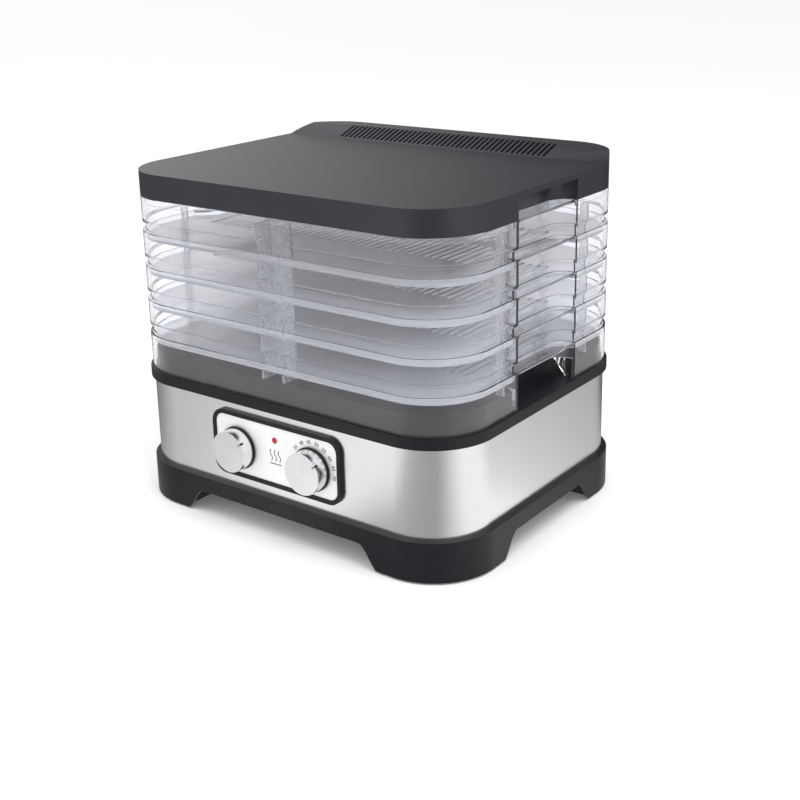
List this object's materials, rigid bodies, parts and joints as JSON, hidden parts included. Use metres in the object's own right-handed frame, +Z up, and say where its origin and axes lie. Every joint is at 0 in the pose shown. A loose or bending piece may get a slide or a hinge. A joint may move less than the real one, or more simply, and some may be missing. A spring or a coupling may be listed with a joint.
{
  "type": "food dehydrator",
  "caption": "Rounded-rectangle food dehydrator: heated fan base with two front dials, clear slotted trays nested in a stack with side hand recesses, and a vented lid.",
  "frame": {"origin": "middle of the footprint, on the surface that the foot pads stand on", "axes": "+Z up, -Y out of the front control panel, +X to the right when facing the panel"},
  "size_m": [0.332, 0.2886, 0.2843],
  "materials": {
    "charcoal_lid": "satin moulded",
    "clear_plastic": "clear moulded, polished",
    "black_plastic": "satin moulded",
    "stainless": "fine horizontal brushing",
    "rubber_pad": "matte",
    "zinc_steel": "plated",
    "face_plate": "satin silver",
    "knob_chrome": "spun face, polished side",
    "red_lens": "tinted, polished",
    "lamp_glass": "clear",
    "cream_plastic": "moulded",
    "brown_phenolic": "moulded",
    "copper_tube": "drawn",
    "lamination": "stacked sheet",
    "fan_alloy": "pressed",
    "shield_alloy": "rolled sheet",
    "mica_board": "layered",
    "heating_wire": "oxidised",
    "white_ceramic": "glazed",
    "wire_sleeve": "silicone sleeve"
  },
  "bodies": {
    "base": {"top_deck": "black_plastic", "outlet_grille": "black_plastic", "steel_shell": "stainless", "lower_housing": "black_plastic", "inlet_grille": "black_plastic", "rubber_feet": "rubber_pad", "housing_screws": "zinc_steel", "panel_bezel": "black_plastic", "panel_plate": "face_plate", "indicator_lens": "red_lens", "indicator_lamp": "lamp_glass", "control_bracket": "zinc_steel", "bracket_screws": "zinc_steel", "timer_module": "cream_plastic", "timer_nut": "zinc_steel", "thermostat_module": "brown_phenolic", "thermostat_nut": "zinc_steel", "thermostat_bulb": "copper_tube", "motor_bracket": "zinc_steel", "motor_screws": "zinc_steel", "fan_motor": "lamination", "fan_shroud": "black_plastic", "heat_shield": "shield_alloy", "shield_screws": "zinc_steel", "heater_frame": "mica_board", "heating_element": "heating_wire", "thermal_fuse": "white_ceramic", "terminal_block": "white_ceramic", "internal_wiring": "wire_sleeve", "cord_gland": "black_plastic"},
    "collar": {"base_collar": "clear_plastic"},
    "tray_level_4": {"tray_4": "clear_plastic"},
    "tray_level_3": {"tray_3": "clear_plastic"},
    "tray_level_2": {"tray_2": "clear_plastic"},
    "tray_level_1": {"tray_1": "clear_plastic"},
    "lid": {"lid_shell": "charcoal_lid", "lid_liner": "clear_plastic", "lid_screws": "zinc_steel"},
    "timer_dial": {"timer_shaft": "zinc_steel", "timer_knob_core": "black_plastic", "timer_knob_cap": "knob_chrome", "timer_pointer": "black_plastic"},
    "thermostat_dial": {"thermostat_shaft": "zinc_steel", "thermostat_knob_core": "black_plastic", "thermostat_knob_cap": "knob_chrome", "thermostat_pointer": "black_plastic"},
    "fan_rotor": {"motor_shaft": "zinc_steel", "fan_impeller": "fan_alloy"}
  },
  "joints": [
    {"name": "collar_lift", "type": "slide", "parent": "base", "child": "collar", "axis": [0, 0, 1], "range_m": [0, 0.05]},
    {"name": "tray_4_lift", "type": "slide", "parent": "collar", "child": "tray_level_4", "axis": [0, 0, 1], "range_m": [0, 0.05]},
    {"name": "tray_3_lift", "type": "slide", "parent": "tray_level_4", "child": "tray_level_3", "axis": [0, 0, 1], "range_m": [0, 0.05]},
    {"name": "tray_2_lift", "type": "slide", "parent": "tray_level_3", "child": "tray_level_2", "axis": [0, 0, 1], "range_m": [0, 0.05]},
    {"name": "tray_1_lift", "type": "slide", "parent": "tray_level_2", "child": "tray_level_1", "axis": [0, 0, 1], "range_m": [0, 0.05]},
    {"name": "lid_lift", "type": "slide", "parent": "tray_level_1", "child": "lid", "axis": [0, 0, 1], "range_m": [0, 0.05]},
    {"name": "timer_turn", "type": "hinge", "parent": "base", "child": "timer_dial", "pos_m": [-0.0375, -0.138, 0.068], "axis": [0, 1, 0], "range_deg": [-205, 95]},
    {"name": "thermostat_turn", "type": "hinge", "parent": "base", "child": "thermostat_dial", "pos_m": [0.0375, -0.138, 0.068], "axis": [0, 1, 0], "range_deg": [-140, 65]},
    {"name": "fan_spin", "type": "hinge", "parent": "base", "child": "fan_rotor", "pos_m": [0, 0, 0.07], "axis": [0, 0, 1], "continuous": true}
  ]
}
